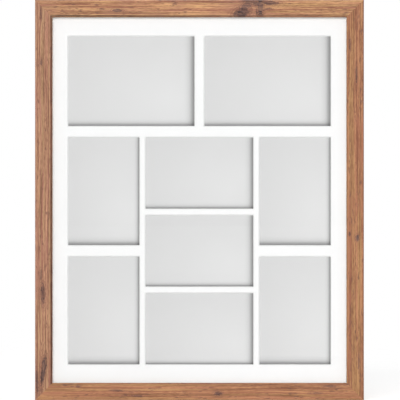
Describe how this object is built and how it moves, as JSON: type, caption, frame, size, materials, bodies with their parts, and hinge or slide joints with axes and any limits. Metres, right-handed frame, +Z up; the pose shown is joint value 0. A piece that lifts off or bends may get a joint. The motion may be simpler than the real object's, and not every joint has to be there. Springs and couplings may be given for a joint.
{
  "type": "collage photo frame",
  "caption": "Rectangular wood wall frame with glass over a white mat, bevelled windows in two sizes and bare grey photo cards, held from behind by a board and bending tabs.",
  "frame": {"origin": "centre of the back plane, which lies against the wall", "axes": "+X to the right as seen from the front, +Y into the wall, +Z up"},
  "size_m": [0.445, 0.0242, 0.542],
  "materials": {
    "moulding_wood": "satin",
    "clear_glass": "polished",
    "mat_card": "matte",
    "photo_paper": "satin",
    "fibreboard": "matte",
    "tab_steel": "satin",
    "hanger_plate": "satin"
  },
  "bodies": {
    "frame": {"rail_top": "moulding_wood", "rail_bottom": "moulding_wood", "stile_left": "moulding_wood", "stile_right": "moulding_wood", "v_nails_top_left": "tab_steel", "v_nails_top_right": "tab_steel", "v_nails_bottom_left": "tab_steel", "v_nails_bottom_right": "tab_steel", "tab_shanks_left": "tab_steel", "tab_shanks_right": "tab_steel", "tab_shanks_top": "tab_steel", "tab_shanks_bottom": "tab_steel", "hanger_strap_left": "hanger_plate", "hanger_strap_right": "hanger_plate", "hanger_screw_left": "hanger_plate", "hanger_screw_right": "hanger_plate"},
    "glazing": {"glazing": "clear_glass"},
    "mat": {"mat_board": "mat_card"},
    "photo_cards": {"photo_card_top_left": "photo_paper", "photo_card_top_right": "photo_paper", "photo_card_left_upper": "photo_paper", "photo_card_left_lower": "photo_paper", "photo_card_centre_upper": "photo_paper", "photo_card_centre_middle": "photo_paper", "photo_card_centre_lower": "photo_paper", "photo_card_right_upper": "photo_paper", "photo_card_right_lower": "photo_paper"},
    "backing": {"backing_board": "fibreboard"},
    "ring_left": {"hanger_ring_left": "hanger_plate"},
    "ring_right": {"hanger_ring_right": "hanger_plate"},
    "tab_left_1": {"tab_left_1": "tab_steel"},
    "tab_left_2": {"tab_left_2": "tab_steel"},
    "tab_left_3": {"tab_left_3": "tab_steel"},
    "tab_left_4": {"tab_left_4": "tab_steel"},
    "tab_right_1": {"tab_right_1": "tab_steel"},
    "tab_right_2": {"tab_right_2": "tab_steel"},
    "tab_right_3": {"tab_right_3": "tab_steel"},
    "tab_right_4": {"tab_right_4": "tab_steel"},
    "tab_top_1": {"tab_top_1": "tab_steel"},
    "tab_top_2": {"tab_top_2": "tab_steel"},
    "tab_top_3": {"tab_top_3": "tab_steel"},
    "tab_bottom_1": {"tab_bottom_1": "tab_steel"},
    "tab_bottom_2": {"tab_bottom_2": "tab_steel"},
    "tab_bottom_3": {"tab_bottom_3": "tab_steel"}
  },
  "joints": [
    {"name": "backing_lift", "type": "slide", "parent": "frame", "child": "backing", "axis": [0, 1, 0], "range_m": [0, 0.12]},
    {"name": "card_lift", "type": "slide", "parent": "frame", "child": "photo_cards", "axis": [0, 1, 0], "range_m": [0, 0.09]},
    {"name": "mat_lift", "type": "slide", "parent": "frame", "child": "mat", "axis": [0, 1, 0], "range_m": [0, 0.06]},
    {"name": "glazing_lift", "type": "slide", "parent": "frame", "child": "glazing", "axis": [0, 1, 0], "range_m": [0, 0.03]},
    {"name": "tab_left_1_bend", "type": "hinge", "parent": "frame", "child": "tab_left_1", "pos_m": [-0.2039, -0.00655, 0.18], "axis": [0, 0, 1], "range_deg": [0, 90], "deforming": ["tab_left_1"]},
    {"name": "tab_left_2_bend", "type": "hinge", "parent": "frame", "child": "tab_left_2", "pos_m": [-0.2039, -0.00655, 0.06], "axis": [0, 0, 1], "range_deg": [0, 90], "deforming": ["tab_left_2"]},
    {"name": "tab_left_3_bend", "type": "hinge", "parent": "frame", "child": "tab_left_3", "pos_m": [-0.2039, -0.00655, -0.06], "axis": [0, 0, 1], "range_deg": [0, 90], "deforming": ["tab_left_3"]},
    {"name": "tab_left_4_bend", "type": "hinge", "parent": "frame", "child": "tab_left_4", "pos_m": [-0.2039, -0.00655, -0.18], "axis": [0, 0, 1], "range_deg": [0, 90], "deforming": ["tab_left_4"]},
    {"name": "tab_right_1_bend", "type": "hinge", "parent": "frame", "child": "tab_right_1", "pos_m": [0.2039, -0.00655, 0.18], "axis": [0, 0, -1], "range_deg": [0, 90], "deforming": ["tab_right_1"]},
    {"name": "tab_right_2_bend", "type": "hinge", "parent": "frame", "child": "tab_right_2", "pos_m": [0.2039, -0.00655, 0.06], "axis": [0, 0, -1], "range_deg": [0, 90], "deforming": ["tab_right_2"]},
    {"name": "tab_right_3_bend", "type": "hinge", "parent": "frame", "child": "tab_right_3", "pos_m": [0.2039, -0.00655, -0.06], "axis": [0, 0, -1], "range_deg": [0, 90], "deforming": ["tab_right_3"]},
    {"name": "tab_right_4_bend", "type": "hinge", "parent": "frame", "child": "tab_right_4", "pos_m": [0.2039, -0.00655, -0.18], "axis": [0, 0, -1], "range_deg": [0, 90], "deforming": ["tab_right_4"]},
    {"name": "tab_top_1_bend", "type": "hinge", "parent": "frame", "child": "tab_top_1", "pos_m": [-0.125, -0.00655, 0.2524], "axis": [1, 0, 0], "range_deg": [0, 90], "deforming": ["tab_top_1"]},
    {"name": "tab_top_2_bend", "type": "hinge", "parent": "frame", "child": "tab_top_2", "pos_m": [0, -0.00655, 0.2524], "axis": [1, 0, 0], "range_deg": [0, 90], "deforming": ["tab_top_2"]},
    {"name": "tab_top_3_bend", "type": "hinge", "parent": "frame", "child": "tab_top_3", "pos_m": [0.125, -0.00655, 0.2524], "axis": [1, 0, 0], "range_deg": [0, 90], "deforming": ["tab_top_3"]},
    {"name": "tab_bottom_1_bend", "type": "hinge", "parent": "frame", "child": "tab_bottom_1", "pos_m": [-0.125, -0.00655, -0.2524], "axis": [-1, 0, 0], "range_deg": [0, 90], "deforming": ["tab_bottom_1"]},
    {"name": "tab_bottom_2_bend", "type": "hinge", "parent": "frame", "child": "tab_bottom_2", "pos_m": [0, -0.00655, -0.2524], "axis": [-1, 0, 0], "range_deg": [0, 90], "deforming": ["tab_bottom_2"]},
    {"name": "tab_bottom_3_bend", "type": "hinge", "parent": "frame", "child": "tab_bottom_3", "pos_m": [0.125, -0.00655, -0.2524], "axis": [-1, 0, 0], "range_deg": [0, 90], "deforming": ["tab_bottom_3"]},
    {"name": "ring_left_swing", "type": "hinge", "parent": "frame", "child": "ring_left", "pos_m": [-0.2135, 0.00197, 0.1], "axis": [1, 0, 0], "range_deg": [0, 175]},
    {"name": "ring_right_swing", "type": "hinge", "parent": "frame", "child": "ring_right", "pos_m": [0.2135, 0.00197, 0.1], "axis": [1, 0, 0], "range_deg": [0, 175]}
  ],
  "couplings": [
    {"joint": "card_lift", "follows": "backing_lift", "ratio": 0.75},
    {"joint": "mat_lift", "follows": "backing_lift", "ratio": 0.5},
    {"joint": "glazing_lift", "follows": "backing_lift", "ratio": 0.25},
    {"joint": "tab_left_1_bend", "follows": "backing_lift", "rad_per_m": 13},
    {"joint": "tab_left_2_bend", "follows": "backing_lift", "rad_per_m": 13},
    {"joint": "tab_left_3_bend", "follows": "backing_lift", "rad_per_m": 13},
    {"joint": "tab_left_4_bend", "follows": "backing_lift", "rad_per_m": 13},
    {"joint": "tab_right_1_bend", "follows": "backing_lift", "rad_per_m": 13},
    {"joint": "tab_right_2_bend", "follows": "backing_lift", "rad_per_m": 13},
    {"joint": "tab_right_3_bend", "follows": "backing_lift", "rad_per_m": 13},
    {"joint": "tab_right_4_bend", "follows": "backing_lift", "rad_per_m": 13},
    {"joint": "tab_top_1_bend", "follows": "backing_lift", "rad_per_m": 13},
    {"joint": "tab_top_2_bend", "follows": "backing_lift", "rad_per_m": 13},
    {"joint": "tab_top_3_bend", "follows": "backing_lift", "rad_per_m": 13},
    {"joint": "tab_bottom_1_bend", "follows": "backing_lift", "rad_per_m": 13},
    {"joint": "tab_bottom_2_bend", "follows": "backing_lift", "rad_per_m": 13},
    {"joint": "tab_bottom_3_bend", "follows": "backing_lift", "rad_per_m": 13}
  ]
}
